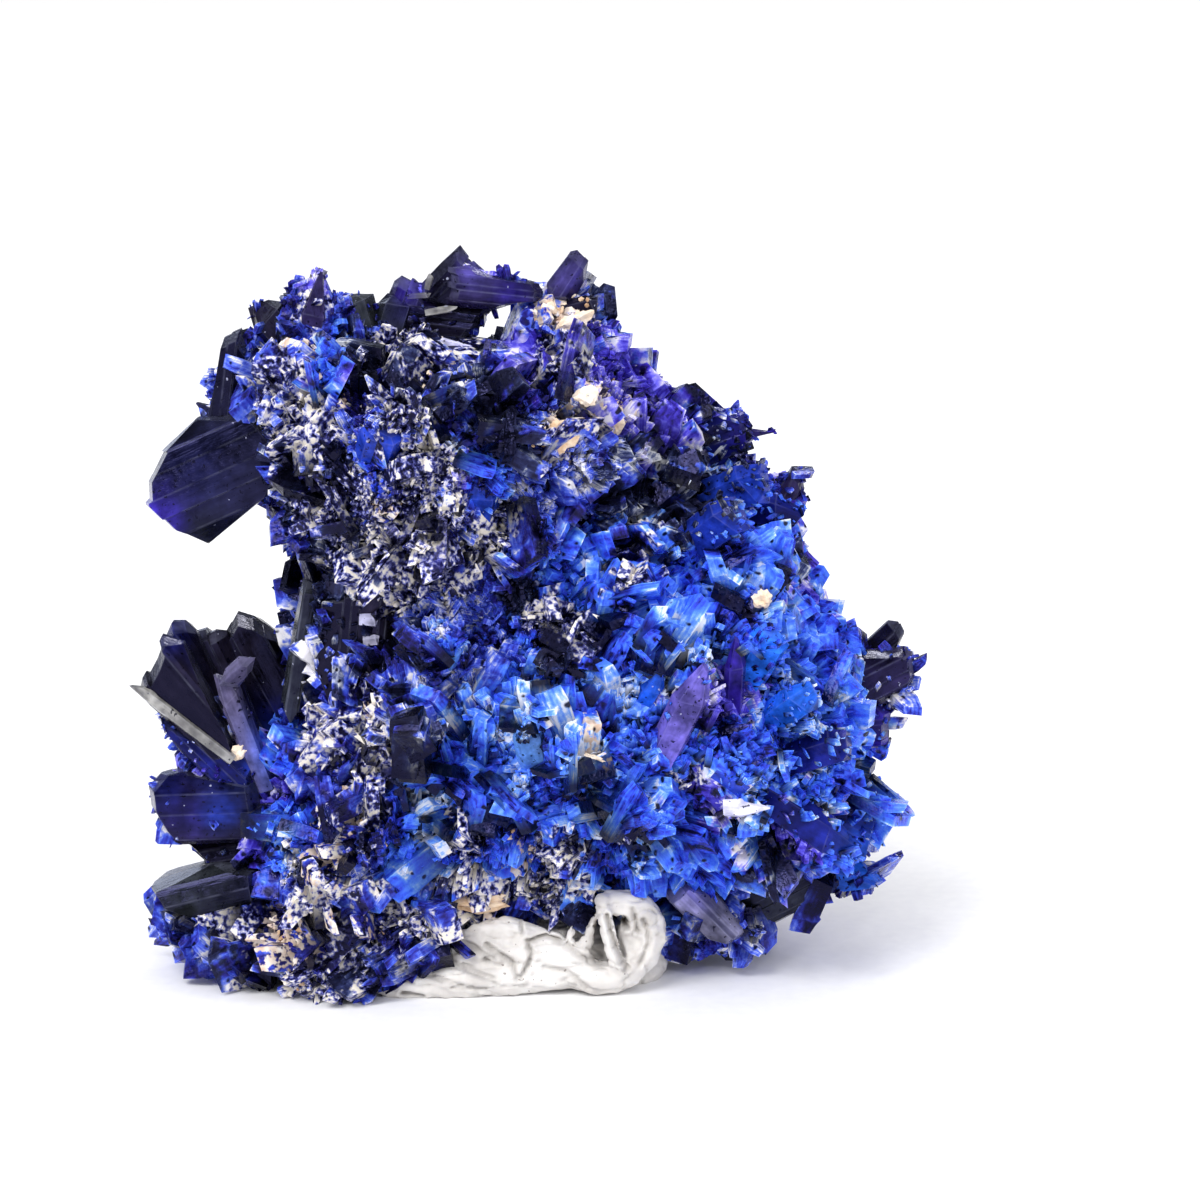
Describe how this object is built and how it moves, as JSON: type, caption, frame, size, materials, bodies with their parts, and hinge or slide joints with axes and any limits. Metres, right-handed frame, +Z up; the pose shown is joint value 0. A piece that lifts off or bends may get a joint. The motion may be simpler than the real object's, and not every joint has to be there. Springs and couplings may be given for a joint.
{
  "type": "azurite specimen",
  "caption": "Natural azurite specimen: dark blue crystals grown together in one upright cluster, standing on a kneaded pinch of white mounting putty.",
  "frame": {"origin": "middle of the specimen's bounding box, on the surface that it stands on", "axes": "+X to the right of the specimen's face, +Y from the face to the back, +Z up"},
  "size_m": [0.0442, 0.0256, 0.0409],
  "materials": {
    "azurite": "vitreous dark blue crystal faces",
    "putty": "kneaded matt putty"
  },
  "bodies": {
    "root": {"azurite_cluster": "azurite", "mounting_putty": "putty"}
  },
  "joints": []
}
